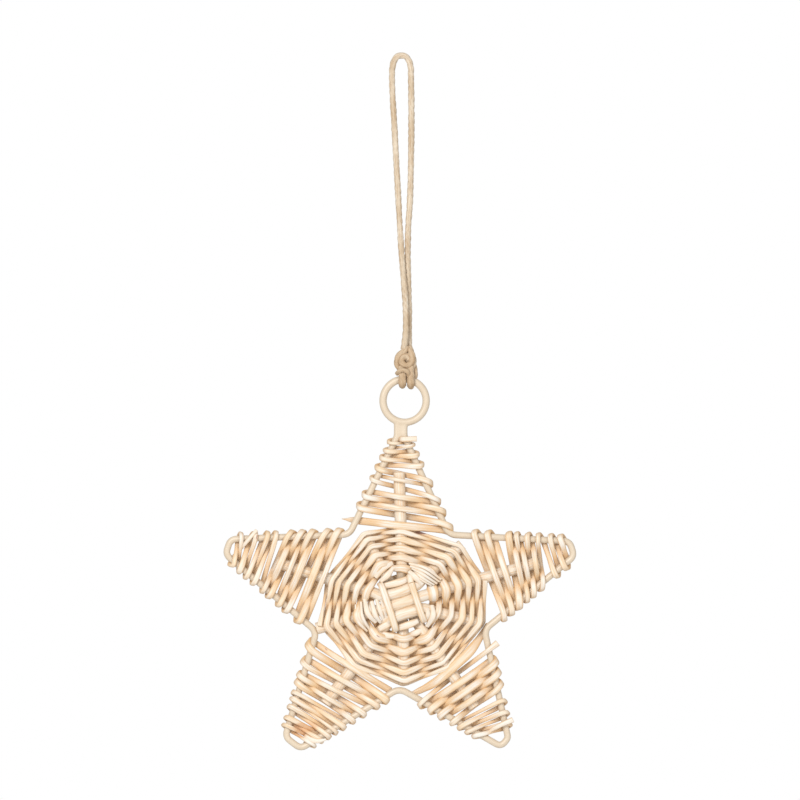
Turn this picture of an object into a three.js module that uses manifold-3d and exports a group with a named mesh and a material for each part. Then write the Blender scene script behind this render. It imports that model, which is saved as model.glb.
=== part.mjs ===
// A star woven from peeled willow rods on a painted wire frame, hung by a loop of twine.
// Millimetres, +Z up. The front faces -Y. The origin is where the loop rests on its hook.
import * as THREE from 'three';
import { mergeVertices } from 'three/addons/utils/BufferGeometryUtils.js';
import Module from 'manifold-3d';

const wasm = await Module();
wasm.setup();

// Driving dimensions: the twine and its knot
const twineDiameter = 3.1;
const loopHeight = 145.8;
const knotHeight = 10.8;
const knotWidth = 11;
const knotDepth = 8.6;
const knotX = 2.4;
const bightOffsets = [-1.5, 2.6];
const bightDepthShare = 0.2;
// The knot's overlapping lumps: shares of its width, depth and height, a tilt in degrees, and how
// far each is right of, behind and above the knot's middle
const knotLumps = [
  { width: 0.9, depth: 0.9, height: 1, tilt: 0, right: 0, back: 0, up: 0 },
  { width: 1.05, depth: 1, height: 0.55, tilt: 28, right: 0, back: -0.3, up: 0.8 },
  { width: 1, depth: 1, height: 0.5, tilt: -24, right: 0, back: 0.4, up: -1.2 },
];
// The loop's centreline from the knot's left leg over the top to its right leg: x, y, z
const loopRoute = [
  [1.3, -1.5, -145.4], [2.3, -1.8, -138], [2.2, -1.5, -122], [0.6, -0.9, -102],
  [-0.5, -0.2, -85], [-1.3, 0, -70.8], [-3.2, 0, -35.8], [-4.5, 0, -10], [-4.1, 0, -3.4],
  [-2.4, 0, 0.5], [0.2, 0, 1.55], [2.9, 0, 0.5], [4.7, 0, -3.4], [5, 0, -10], [5.2, 0, -35.8],
  [4.5, 0, -70.8], [3.6, 0.2, -85], [3.4, 1.1, -102], [3.9, 1.7, -122], [4, 2, -138],
  [4.3, 1.7, -145.4],
];

// Driving dimensions: the wire frame
const wireDiameter = 3.4;
const ringOuterDiameter = 25;
const ringX = 1.8;
const ringBelowKnot = 2;
const ringToStarCentre = 100.8;
const starX = 0.75;
const stemWireSpacing = 3.5;
const stemX = -0.9;
const stemLength = 7;
const stemBend = 6;
const weldDiameter = 2.4;
// The frame's corners around the star's centre, counterclockwise: where the wires' centrelines
// would meet, as an angle in degrees and a reach, and the radius of the bend there. A tip is blunt:
// its trims say how far before that point the arriving and the leaving wire are bent.
const corners = {
  topLeftValley: { angle: 128.1, reach: 43.1, bend: 5.5 },
  leftTip: { angle: 162.2, reach: 101.8, bend: 4, trims: [11, 11] },
  leftValley: { angle: 198.8, reach: 45.4, bend: 5.5 },
  lowerLeftTip: { angle: 232.1, reach: 101.8, bend: 4, trims: [13.6, 13.6] },
  bottomValley: { angle: 267.9, reach: 43, bend: 6.5 },
  lowerRightTip: { angle: 305.9, reach: 92.8, bend: 3, trims: [6, 7.5] },
  rightValley: { angle: 341.5, reach: 43.2, bend: 5.5 },
  rightTip: { angle: 17.6, reach: 98.9, bend: 4, trims: [10.8, 10.8] },
  topRightValley: { angle: 55.6, reach: 41, bend: 6 },
};

// Driving dimensions: the ribs, which cross at the centre and fan out into ten spokes
const ribDiameter = 5.6;
const ribGap = 0.5;
const spokeTurn = 36;
const fanRadius = 10.4;
const levelRadius = 17;
const frontSlant = 18;
// Each spoke's end: the angle it drifts to and its reach, from the right arm counterclockwise
const spokes = [
  { angle: 16.4, reach: 71 },
  { angle: 44, reach: 41 },
  { angle: 91.5, reach: 65 },
  { angle: 119, reach: 39 },
  { angle: 162.5, reach: 66 },
  { angle: 197, reach: 42.5 },
  { angle: 232.7, reach: 63.5 },
  { angle: 271.5, reach: 39.5 },
  { angle: 304.5, reach: 63.5 },
  { angle: 345, reach: 40.5 },
];
// Each rib joins two spokes, in front of or behind the crossing
const ribs = [
  { name: 'rib_left_arm', from: 4, to: 1, side: 1 },
  { name: 'rib_right_arm', from: 5, to: 0, side: 1 },
  { name: 'rib_lower_left_arm', from: 6, to: 9, side: 1 },
  { name: 'rib_top_arm', from: 2, to: 8, side: -1 },
  { name: 'rib_back', from: 3, to: 7, side: -1 },
];

// Driving dimensions: the weaving rods
const weaverWidth = 2.3;
const weaverThickness = 1.8;
const clearance = 0.47;
const centreWeaverWidth = 3;
const centreSqueezedWidth = 1.6;
const levelHalfLength = 1.5;
const passingHalfShare = 0.1;
const passingHeight = 1.35;
const passingGap = 0.3;
const centreInnerRadius = 19.3;
const centreOuterRadius = 39.6;
const centreTurns = 4.6;
const centreDrop = 1.3;
const centreStartAngle = 198;
const bindingHalfWidth = 7.2;
const bindingHalfHeight = 12.2;
// The binding's way round one corner of the crossing, from the front to the back: how far outside
// its half width and height it is, and its height as a share of its height at the front
const bindingCorner = [
  { side: 0, end: -4.5, height: 1 },
  { side: 1, end: -1, height: 0.6 },
  { side: 1.2, end: -0.4, height: -0.5 },
  { side: -2.2, end: 0, height: -1 },
];
const cutEnd = 2.2;
// Each arm's weaving: the number of loops on each wire, and how far the first and the last loop
// are from the arm's tip, or from the stem's foot, on the wire that is counterclockwise of the rib
// and on the other one
const arms = [
  { name: 'right', tip: 'rightTip', left: 'topRightValley', right: 'rightValley',
    spoke: 0, loops: 8, leftLoops: [16.5, 57.5], rightLoops: [18.8, 56.5] },
  { name: 'top', tip: 'stem', left: 'topLeftValley', right: 'topRightValley',
    spoke: 2, loops: 7, leftLoops: [8.4, 39.6], rightLoops: [9.4, 47.4] },
  { name: 'left', tip: 'leftTip', left: 'leftValley', right: 'topLeftValley',
    spoke: 4, loops: 9, leftLoops: [18, 60.7], rightLoops: [18.4, 63] },
  { name: 'lower_left', tip: 'lowerLeftTip', left: 'bottomValley', right: 'leftValley',
    spoke: 6, loops: 9, leftLoops: [18.5, 60.5], rightLoops: [20.7, 60] },
  { name: 'lower_right', tip: 'lowerRightTip', left: 'rightValley', right: 'bottomValley',
    spoke: 8, loops: 7, leftLoops: [16, 52], rightLoops: [18.4, 52.7] },
];

// Facets
const wireSides = 8;
const ribSides = 8;
const bendStep = THREE.MathUtils.degToRad(25);
const ringSteps = 20;
const ringFacetSag = 0.15;
const twineSides = 8;
const twineSteps = 56;
const lumpSides = 8;
const lumpRows = 6;
const wrapEdge = 60;

// Derived places
const wireRadius = wireDiameter / 2;
const ribRadius = ribDiameter / 2;
const ringRadius = (ringOuterDiameter - wireDiameter) / 2;
const knotZ = -loopHeight - knotHeight / 2;
const ringZ = -loopHeight - knotHeight - ringBelowKnot - ringOuterDiameter / 2;
const starZ = ringZ - ringToStarCentre;
const stemTop = ringToStarCentre - ringRadius;
const ribLift = ribRadius + ribGap / 2;

const materials = {
  paintedWire: new THREE.MeshStandardMaterial({ color: 0xe9dcc3, roughness: 0.45, metalness: 0 }),
  willow: new THREE.MeshStandardMaterial({ color: 0xe8d2ae, roughness: 0.55, metalness: 0 }),
  willowRib: new THREE.MeshStandardMaterial({ color: 0xdfc59c, roughness: 0.6, metalness: 0 }),
  twine: new THREE.MeshStandardMaterial({ color: 0xd2b78a, roughness: 0.95, metalness: 0 }),
};

function addPiece(group, name, geometry, material) {
  geometry.computeVertexNormals();
  const mesh = new THREE.Mesh(geometry, material);
  mesh.name = name;
  group.add(mesh);
}

// A point of the star's plane: right and up from the star's centre, and out to the front
function place(right, up, front = 0) {
  return new THREE.Vector3(starX + right, -front, starZ + up);
}

function polar(angle, radius) {
  const turn = THREE.MathUtils.degToRad(angle);
  return new THREE.Vector2(Math.cos(turn) * radius, Math.sin(turn) * radius);
}

function cornerPoint(name) {
  return polar(corners[name].angle, corners[name].reach);
}

// Where one of the stem's two wires turns off into the top arm: side -1 is left, 1 is right
function stemFoot(side) {
  return new THREE.Vector2(stemX + (side * stemWireSpacing) / 2, stemTop - stemLength);
}

// Cross-sections, as offsets along the width and the thickness of a rod
function flatSection(width, thickness) {
  return [
    [width / 2, -thickness / 2], [width / 2, thickness / 2],
    [-width / 2, thickness / 2], [-width / 2, -thickness / 2],
  ];
}

function roundSection(diameter, sides) {
  return Array.from({ length: sides }, (_, k) => {
    const turn = ((k + 0.5) / sides) * 2 * Math.PI;
    const radius = diameter / 2 / Math.cos(Math.PI / sides);
    return [Math.cos(turn) * radius, Math.sin(turn) * radius];
  });
}

// Sweeps a section along points with mitred joints. widthWay gives the direction that the
// section's width follows at each point, and sectionAt the section there.
function sweep(points, sectionAt, widthWay, closed = false) {
  const count = points.length;
  const positions = [];
  const indices = [];
  let sides = 0;
  for (let i = 0; i < count; i++) {
    const before = points[closed ? (i + count - 1) % count : Math.max(i - 1, 0)];
    const after = points[closed ? (i + 1) % count : Math.min(i + 1, count - 1)];
    const arriving = points[i].clone().sub(before);
    const leaving = after.clone().sub(points[i]);
    if (arriving.length() === 0) {
      arriving.copy(leaving);
    }
    if (leaving.length() === 0) {
      leaving.copy(arriving);
    }
    arriving.normalize();
    leaving.normalize();
    const along = arriving.clone().add(leaving).normalize();
    const across = widthWay(i).clone();
    across.addScaledVector(along, -across.dot(along)).normalize();
    const through = along.clone().cross(across);
    const lean = arriving.clone().addScaledVector(along, -arriving.dot(along));
    const stretch = 1 / Math.max(arriving.dot(along), 0.5) - 1;
    lean.normalize();
    const section = sectionAt(i);
    sides = section.length;
    for (const [width, thickness] of section) {
      const offset = across.clone().multiplyScalar(width).addScaledVector(through, thickness);
      offset.addScaledVector(lean, offset.dot(lean) * stretch);
      positions.push(...points[i].clone().add(offset).toArray());
    }
  }
  const rings = closed ? count : count - 1;
  for (let i = 0; i < rings; i++) {
    const here = i * sides;
    const next = ((i + 1) % count) * sides;
    for (let j = 0; j < sides; j++) {
      const k = (j + 1) % sides;
      indices.push(here + j, here + k, next + k);
      indices.push(here + j, next + k, next + j);
    }
  }
  if (!closed) {
    const last = (count - 1) * sides;
    for (let j = 1; j < sides - 1; j++) {
      indices.push(0, j + 1, j);
      indices.push(last, last + j, last + j + 1);
    }
  }
  const geometry = new THREE.BufferGeometry();
  geometry.setAttribute('position', new THREE.Float32BufferAttribute(positions, 3));
  geometry.setIndex(indices);
  return geometry;
}

function toSolid(geometry) {
  const bare = geometry.clone();
  bare.deleteAttribute('normal');
  bare.deleteAttribute('uv');
  const merged = mergeVertices(bare, 1e-4);
  return new wasm.Manifold(new wasm.Mesh({
    numProp: 3,
    vertProperties: new Float32Array(merged.attributes.position.array),
    triVerts: new Uint32Array(merged.index.array),
  }));
}

function toGeometry(solid) {
  const mesh = solid.getMesh();
  const geometry = new THREE.BufferGeometry();
  geometry.setAttribute('position', new THREE.BufferAttribute(new Float32Array(mesh.vertProperties), 3));
  geometry.setIndex(new THREE.BufferAttribute(new Uint32Array(mesh.triVerts), 1));
  return geometry;
}

function joined(geometries) {
  return toGeometry(geometries.map(toSolid).reduce((whole, solid) => whole.add(solid)));
}

// The corner of a bent wire as an arc of the bend's radius, in plane points
function bentCorner(before, corner, after, radius) {
  const arriving = corner.clone().sub(before).normalize();
  const leaving = after.clone().sub(corner).normalize();
  const turn = Math.atan2(arriving.cross(leaving), arriving.dot(leaving));
  const steps = Math.max(1, Math.round(Math.abs(turn) / bendStep));
  const reach = radius * Math.tan(Math.abs(turn) / 2);
  const start = corner.clone().addScaledVector(arriving, -reach);
  const side = new THREE.Vector2(-arriving.y, arriving.x).multiplyScalar(Math.sign(turn) * radius);
  const centre = start.clone().add(side);
  return Array.from({ length: steps + 1 }, (_, k) =>
    start.clone().rotateAround(centre, (turn * k) / steps));
}

// The wire's outline: down from the ring, around the star and up to the ring again
function outlinePoints() {
  const names = Object.keys(corners);
  const path = [{ point: stemFoot(-1), bend: stemBend }];
  names.forEach((name, i) => {
    const { bend, trims } = corners[name];
    const point = cornerPoint(name);
    if (!trims) {
      path.push({ point, bend });
      return;
    }
    for (const [side, neighbour] of [names[i - 1], names[i + 1] ?? names[0]].entries()) {
      const way = cornerPoint(neighbour).sub(point).normalize();
      path.push({ point: point.clone().addScaledVector(way, trims[side]), bend });
    }
  });
  path.push({ point: stemFoot(1), bend: stemBend });
  const top = (side) => new THREE.Vector2(stemX + (side * stemWireSpacing) / 2, stemTop);
  const stops = [top(-1), ...path.map((corner) => corner.point), top(1)];
  const points = [top(-1)];
  path.forEach((corner, i) => {
    points.push(...bentCorner(stops[i], corner.point, stops[i + 2], corner.bend));
  });
  points.push(top(1));
  return points.map((point) => place(point.x, point.y));
}

// The outline, the ring and the weld between the two wires of the stem, as one piece
function wireFrame() {
  const outline = sweep(
    outlinePoints(), () => roundSection(wireDiameter, wireSides), () => new THREE.Vector3(0, 1, 0));
  const ring = new THREE.TorusGeometry(ringRadius, wireRadius, wireSides, ringSteps);
  ring.rotateX(Math.PI / 2);
  ring.translate(ringX, 0, ringZ);
  const weld = new THREE.CylinderGeometry(weldDiameter / 2, weldDiameter / 2, stemLength, wireSides);
  weld.rotateX(Math.PI / 2);
  weld.translate(starX + stemX, 0, ringZ - ringRadius - stemLength / 2);
  return joined([outline, ring, weld]);
}

// A spoke's centreline: it leaves the crossing at an even angle and drifts to its end's angle
function spokeFoot(index) {
  return polar(frontSlant + index * spokeTurn, fanRadius);
}

function spokeEnd(index) {
  return polar(spokes[index].angle, spokes[index].reach);
}

function spokePoint(index, radius) {
  const share = (radius - fanRadius) / (spokes[index].reach - fanRadius);
  return spokeFoot(index).lerp(spokeEnd(index), share);
}

// Where a row of the centre's weaving crosses a spoke. The outer rows hang a little low.
function rowPoint(index, radius) {
  const drop = centreDrop * (radius / centreOuterRadius);
  return spokePoint(index, radius - drop * spokeFoot(index).normalize().y);
}

function spokeSide(index) {
  return ribs.find((rib) => rib.from === index || rib.to === index).side;
}

// How far a spoke's centreline stands in front of the star's plane at a radius
function spokeLift(index, radius) {
  const share = THREE.MathUtils.clamp((levelRadius - radius) / (levelRadius - fanRadius), 0, 1);
  return spokeSide(index) * ribLift * share;
}

function ribPoints(rib) {
  const spokePoints = (index) => [fanRadius, (fanRadius + levelRadius) / 2, levelRadius, spokes[index].reach]
    .map((radius) => {
      const point = spokePoint(index, radius);
      return place(point.x, point.y, spokeLift(index, radius));
    });
  return [...spokePoints(rib.from).reverse(), ...spokePoints(rib.to)];
}

// One strand of the pairing weave. It runs level over one spoke and under the next, and passes its
// partner halfway between them, where both are squeezed narrow.
function centreStrand(phase) {
  const rows = Math.round(centreTurns * spokes.length);
  const pitch = (centreOuterRadius - centreInnerRadius) / rows;
  const twistRadius = (centreSqueezedWidth + passingGap) / 2;
  const wave = ribRadius + weaverThickness / 2 + clearance;
  const first = Math.round(centreStartAngle / spokeTurn);
  const points = [];
  const ways = [];
  const widths = [];
  const add = (row, spot, height, offset, width) => {
    const here = (first + row) % spokes.length;
    const next = (here + 1) % spokes.length;
    const from = rowPoint(here, centreInnerRadius + row * pitch);
    const to = rowPoint(next, centreInnerRadius + (row + 1) * pitch);
    const length = from.distanceTo(to);
    const point = from.clone().lerp(to, spot(length));
    const outward = point.clone().normalize();
    point.addScaledVector(outward, offset);
    points.push(place(point.x, point.y, height));
    ways.push(new THREE.Vector3(outward.x, 0, outward.y));
    widths.push(width);
  };
  for (let row = 0; row < rows; row++) {
    const face = (row + phase) % 2 === 0 ? 1 : -1;
    add(row, (length) => levelHalfLength / length, face * wave, 0, centreWeaverWidth);
    add(row, () => 0.5 - passingHalfShare, face * passingHeight, face * twistRadius, centreSqueezedWidth);
    add(row, () => 0.5 + passingHalfShare, -face * passingHeight, face * twistRadius, centreSqueezedWidth);
    add(row, (length) => 1 - levelHalfLength / length, -face * wave, 0, centreWeaverWidth);
  }
  return sweep(points, (i) => flatSection(widths[i], weaverThickness), (i) => ways[i]);
}

// The rod bound round the crossing: in front of the three front ribs, behind the two others
function crossingBinding() {
  const front = ribLift + ribRadius + weaverThickness / 2 + clearance;
  const corner = bindingCorner.map(({ side, end, height }) => [
    bindingHalfWidth + side, bindingHalfHeight + end, front * height,
  ]);
  const turned = [...corner].reverse();
  const loop = [
    ...corner,
    ...turned.map(([u, v, w]) => [-u, v, w]),
    ...corner.map(([u, v, w]) => [-u, -v, w]),
    ...turned.map(([u, v, w]) => [u, -v, w]),
  ];
  const slant = THREE.MathUtils.degToRad(frontSlant);
  const flat = loop.map(([u, v]) => new THREE.Vector2(u, v).rotateAround(new THREE.Vector2(), slant));
  const points = flat.map((point, i) => place(point.x, point.y, loop[i][2]));
  return sweep(
    points,
    () => flatSection(weaverWidth, weaverThickness),
    (i) => new THREE.Vector3(flat[i].x, 0, flat[i].y),
    true);
}

// An arm's weaver: it crosses from wire to wire, under and over the rib, and turns round each wire
function armWeaver(arm) {
  const tips = [-1, 1].map((side) => (arm.tip === 'stem' ? stemFoot(side) : cornerPoint(arm.tip)));
  const wires = [arm.left, arm.right].map((name, side) => cornerPoint(name).sub(tips[side]).normalize());
  const ranges = [arm.leftLoops, arm.rightLoops];
  const steps = ranges.map(([first, last]) => (last - first) / (arm.loops - 1));
  const loopAt = (side, loop) => ranges[side][0] + steps[side] * loop;
  const onWire = (side, distance) => tips[side].clone().addScaledVector(wires[side], distance);
  const wrap = (wireRadius + weaverThickness / 2 + clearance) / Math.sin(THREE.MathUtils.degToRad(wrapEdge));
  const overRib = ribRadius + weaverThickness / 2 + clearance;
  const ribFoot = spokeFoot(arm.spoke);
  const ribWay = spokeEnd(arm.spoke).sub(ribFoot).normalize();
  const flat = [];
  const heights = [];
  let start = 1;
  let face = 1;
  for (let pass = 0; pass < 2 * arm.loops + 1; pass++) {
    const end = 1 - start;
    const leaving = loopAt(start, Math.floor((pass - 1) / 2)) + steps[start] / 4;
    const arriving = loopAt(end, Math.floor(pass / 2)) - steps[end] / 4;
    const a = onWire(start, leaving);
    const b = onWire(end, arriving);
    const across = b.clone().sub(a).normalize();
    const oblique = [0, 1].map((side) => 1 / Math.abs(across.cross(wires[side])));
    const turnAt = (side, distance, degrees, way, height) => {
      const turn = THREE.MathUtils.degToRad(degrees);
      const reach = way * Math.cos(turn) * wrap * oblique[side];
      flat.push(onWire(side, distance).addScaledVector(across, reach));
      heights.push(height * Math.sin(turn) * wrap);
    };
    if (pass === 0) {
      flat.push(a.clone().addScaledVector(across, -wrap - cutEnd));
      heights.push(face * wrap * Math.sin(THREE.MathUtils.degToRad(wrapEdge)));
    } else {
      turnAt(start, leaving - steps[start] / 8, wrapEdge, -1, face);
    }
    turnAt(start, leaving, 180 - wrapEdge, -1, face);
    const meet = ribFoot.clone().sub(a);
    const share = meet.cross(ribWay) / across.cross(ribWay);
    const crossing = a.clone().addScaledVector(across, share);
    const ribEnd = spokes[arm.spoke].reach + weaverWidth;
    const passesRib = crossing.length() < ribEnd;
    if (passesRib) {
      for (const offset of [-levelHalfLength, levelHalfLength]) {
        flat.push(crossing.clone().addScaledVector(across, offset));
        heights.push(-face * overRib);
      }
    }
    const arrival = passesRib ? face : -face;
    turnAt(end, arriving, 180 - wrapEdge, 1, arrival);
    turnAt(end, arriving + steps[end] / 8, wrapEdge, 1, arrival);
    turnAt(end, arriving + steps[end] / 4, 0, 1, arrival);
    start = end;
    face = -arrival;
  }
  const points = flat.map((point, i) => place(point.x, point.y, heights[i]));
  const way = new THREE.Vector3(ribWay.x, 0, ribWay.y);
  return sweep(points, () => flatSection(weaverWidth, weaverThickness), () => way);
}

// The hanging loop: one length of twine from the knot over the hook and back
function hangingTwine() {
  const section = new THREE.Shape(
    roundSection(twineDiameter, twineSides).map(([x, y]) => new THREE.Vector2(x, y)));
  const route = new THREE.CatmullRomCurve3(loopRoute.map((point) => new THREE.Vector3(...point)));
  return new THREE.ExtrudeGeometry(section, {
    steps: twineSteps, bevelEnabled: false, extrudePath: route,
  });
}

// The overhand knot above the ring, with the two bights of twine that hold the ring's wire
function twineKnot() {
  const lumps = knotLumps.map(({ width, depth, height, tilt, right, back, up }) => {
    const ball = new THREE.SphereGeometry(0.5, lumpSides, lumpRows);
    ball.scale(knotWidth * width, knotDepth * depth, knotHeight * height);
    ball.rotateY(THREE.MathUtils.degToRad(tilt));
    ball.translate(knotX + right, back, knotZ + up);
    return ball;
  });
  const wrap = wireRadius + twineDiameter / 2 + clearance + ringFacetSag;
  const bights = bightOffsets.map((offset) => {
    const x = knotX + offset;
    const wireZ = ringZ + Math.sqrt(ringRadius ** 2 - (x - ringX) ** 2);
    const turns = [180, 216, 252, 288, 324, 360];
    const points = [
      new THREE.Vector3(x, -knotDepth * bightDepthShare, knotZ),
      ...turns.map((degrees) => {
        const turn = THREE.MathUtils.degToRad(degrees);
        return new THREE.Vector3(x, Math.cos(turn) * wrap, wireZ + Math.sin(turn) * wrap);
      }),
      new THREE.Vector3(x, knotDepth * bightDepthShare, knotZ),
    ];
    return sweep(
      points, () => roundSection(twineDiameter, twineSides), () => new THREE.Vector3(1, 0, 0));
  });
  return joined([...lumps, ...bights]);
}

const star = new THREE.Group();
addPiece(star, 'wire_frame', wireFrame(), materials.paintedWire);
for (const rib of ribs) {
  const rod = sweep(
    ribPoints(rib), () => roundSection(ribDiameter, ribSides), () => new THREE.Vector3(0, 1, 0));
  addPiece(star, rib.name, rod, materials.willowRib);
}
addPiece(star, 'crossing_binding', crossingBinding(), materials.willow);
addPiece(star, 'centre_weaver_a', centreStrand(0), materials.willow);
addPiece(star, 'centre_weaver_b', centreStrand(1), materials.willow);
for (const arm of arms) {
  addPiece(star, `arm_weaver_${arm.name}`, armWeaver(arm), materials.willow);
}
addPiece(star, 'hanging_twine', hangingTwine(), materials.twine);
addPiece(star, 'twine_knot', twineKnot(), materials.twine);

export default star;
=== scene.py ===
# %% [markdown]
# A star woven from peeled willow on a painted wire frame
#
# This script dresses a hanging star in Blender. The frame under it is a plain solid model with
# every piece at its real place. Here each rod gets its rounded section, its taper and its grain,
# and the twine gets its twist. Lengths in the lists are millimetres, as a maker would note them,
# and the helpers turn them into Blender's metres.

import math

import bmesh
import bpy
from mathutils import Matrix, Vector, noise
from mathutils.geometry import interpolate_bezier


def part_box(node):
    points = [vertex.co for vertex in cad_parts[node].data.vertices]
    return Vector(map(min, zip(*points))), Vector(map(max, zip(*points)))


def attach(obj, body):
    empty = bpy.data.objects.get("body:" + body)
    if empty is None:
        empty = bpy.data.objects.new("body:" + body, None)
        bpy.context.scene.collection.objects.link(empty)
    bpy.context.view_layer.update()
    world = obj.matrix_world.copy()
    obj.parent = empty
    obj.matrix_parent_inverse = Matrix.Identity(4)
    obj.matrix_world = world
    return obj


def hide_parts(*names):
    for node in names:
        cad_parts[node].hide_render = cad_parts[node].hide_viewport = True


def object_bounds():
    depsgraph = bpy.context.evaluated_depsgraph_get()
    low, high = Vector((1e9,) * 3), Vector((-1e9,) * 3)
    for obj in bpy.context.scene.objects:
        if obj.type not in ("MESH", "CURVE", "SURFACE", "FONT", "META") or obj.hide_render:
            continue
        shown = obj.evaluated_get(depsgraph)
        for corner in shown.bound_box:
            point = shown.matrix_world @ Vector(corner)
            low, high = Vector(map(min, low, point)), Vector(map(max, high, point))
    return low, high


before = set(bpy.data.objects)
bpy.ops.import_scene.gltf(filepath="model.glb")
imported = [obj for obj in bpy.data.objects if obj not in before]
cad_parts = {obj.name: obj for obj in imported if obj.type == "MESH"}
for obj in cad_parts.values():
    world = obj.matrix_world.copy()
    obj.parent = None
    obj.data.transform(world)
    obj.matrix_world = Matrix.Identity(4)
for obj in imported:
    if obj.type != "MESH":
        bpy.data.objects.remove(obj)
cad_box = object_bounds()
MM = 0.001
TOUCH = 0.05
print("nodes:", len(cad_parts))

# %% [markdown]
# The star's own measurements
#
# Everything in the star is measured from its centre: right, up and out to the front. The top of
# the wire frame is the top of its ring, so the ring's centre and the star's centre follow from
# the frame's box.

# %% Places
RING_OUTER = 25.0
RING_TO_STAR = 100.8
WIRE = 3.4
STEM_SPACING = 3.5
STEM_X = -0.9
STEM_LENGTH = 7.0
RING_X = 1.8
STAR_X = 0.75

wire_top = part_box("wire_frame")[1][2]
RING_Z = wire_top / MM - RING_OUTER / 2
STAR_Z = RING_Z - RING_TO_STAR
RING_RADIUS = (RING_OUTER - WIRE) / 2
STEM_TOP = RING_TO_STAR - RING_RADIUS


def at(right, up, front=0.0):
    """A place measured from the star's centre in millimetres, as a point in metres."""
    return Vector((STAR_X + right, -front, STAR_Z + up)) * MM


def polar(angle, radius):
    """A place round the star's centre, in the star's plane."""
    turn = math.radians(angle)
    return Vector((math.cos(turn) * radius, math.sin(turn) * radius))


print("ring centre:", round(RING_Z, 2), "star centre:", round(STAR_Z, 2))

# %% [markdown]
# The camera
#
# The star is seen straight on. A long lens from two metres keeps the arms' proportions, and the
# camera stands level with the middle of the whole ornament, loop and all.

# %% Camera
VIEW_WIDTH = 400 * MM
CAMERA_DISTANCE = 2.0
CAMERA_HEIGHT = -170.75 * MM
CAMERA_SIDE = -0.5 * MM

camera_data = bpy.data.cameras.new("camera")
camera_data.sensor_width = 36.0
camera_data.lens = camera_data.sensor_width * CAMERA_DISTANCE / VIEW_WIDTH
camera = bpy.data.objects.new("camera", camera_data)
camera.location = (CAMERA_SIDE, -CAMERA_DISTANCE, CAMERA_HEIGHT)
camera.rotation_euler = (math.pi / 2, 0, 0)
bpy.context.scene.collection.objects.link(camera)
bpy.context.scene.camera = camera
print("lens:", round(camera_data.lens, 1))

# %% [markdown]
# Rods as lofts
#
# Every rod, wire and twine here is a line with a cross-section that changes along it. A curve
# with a bevel could do this, but a willow rod is oval, and the oval has to keep facing the right
# way while the rod turns round a wire. So a flat grid is rolled round the line like bark: its
# columns go round the rod and its rows are the stations along it. Each vertex also keeps its
# place in the straightened rod in an attribute, so that grain can run along the rod's bends.


# %% Lines
def line_through(points, step):
    """A smooth line through the points, in pieces of about one step. The parameter follows the
    square root of the distances, which keeps tight turns free of loops."""
    ends = [2 * points[0] - points[1], *points, 2 * points[-1] - points[-2]]
    line = []
    for before, here, there, after in zip(ends, ends[1:], ends[2:], ends[3:]):
        first = (here - before).length ** 0.5
        span = (there - here).length ** 0.5
        last = (after - there).length ** 0.5
        leave = (here - before) / first - (there - before) / (first + span) + (there - here) / span
        arrive = (there - here) / span - (after - here) / (span + last) + (after - there) / last
        count = max(2, round((there - here).length / step) + 1)
        line += interpolate_bezier(
            here, here + leave * span / 3, there - arrive * span / 3, there, count)[:-1]
    return [*line, points[-1].copy()]


def distances(line):
    """How far along the line each of its points is."""
    found = [0.0]
    for here, there in zip(line, line[1:]):
        found.append(found[-1] + (there - here).length)
    return found


def waver(distance, wave, seed):
    """A smooth number between about -1 and 1 that wanders along a rod."""
    return noise.noise(Vector((distance / wave, seed * 7.31, 0.5))) * 1.6


# %% Lofts
def stations(line, way, size, turn=None):
    """The frame of each cross-section: x along the width, y along the thickness, z along the
    line. way(i) is the way that the width follows, and size(i, distance) gives both sizes."""
    found = []
    for i, (point, distance) in enumerate(zip(line, distances(line))):
        along = (line[min(i + 1, len(line) - 1)] - line[max(i - 1, 0)]).normalized()
        across = way(i) - along * way(i).dot(along)
        across.normalize()
        if turn:
            across.rotate(Matrix.Rotation(turn(distance), 3, along))
        width, thickness = size(i, distance)
        through = along.cross(across)
        matrix = Matrix((across, through, along)).transposed().to_4x4()
        matrix.translation = point
        found.append((matrix, width, thickness, distance))
    return found


def loft(bm, found, sides, round_ends=0.0, shape=None, squareness=1.0):
    """Rolls a flat sheet round the stations and closes its seam and ends. Cut ends are eased and
    get the second material. shape(turn, distance) may change the radius round the section, and a
    squareness below 1 flattens an oval's faces, as the pull of weaving does."""
    layer = bm.verts.layers.float_vector.get("rod") or bm.verts.layers.float_vector.new("rod")
    last = len(found) - 1
    sheet = bmesh.ops.create_grid(bm, x_segments=sides, y_segments=last, size=0.5)["verts"]
    seam = []
    for vert in sheet:
        share = vert.co.x + 0.5
        matrix, width, thickness, distance = found[round((vert.co.y + 0.5) * last)]
        turn = 2 * math.pi * share
        radius = shape(turn, distance) if shape else 1.0
        side = math.copysign(abs(math.cos(turn)) ** squareness, math.cos(turn))
        face = math.copysign(abs(math.sin(turn)) ** squareness, math.sin(turn))
        local = Vector((side * width, face * thickness, 0)) * radius / 2
        vert.co = matrix @ local
        vert[layer] = Vector((local.x, local.y, distance)) / MM
        if min(share, 1 - share) < 0.5 / sides:
            seam.append(vert)
    bmesh.ops.remove_doubles(bm, verts=seam, dist=1e-7)
    open_edges = [edge for edge in bm.edges if edge.is_boundary]
    for cap in bmesh.ops.holes_fill(bm, edges=open_edges, sides=0)["faces"]:
        if round_ends:
            cap.material_index = 1
            bmesh.ops.bevel(
                bm, geom=list(cap.edges), offset=round_ends, segments=2, profile=0.5,
                affect="EDGES", material=-1)


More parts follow.
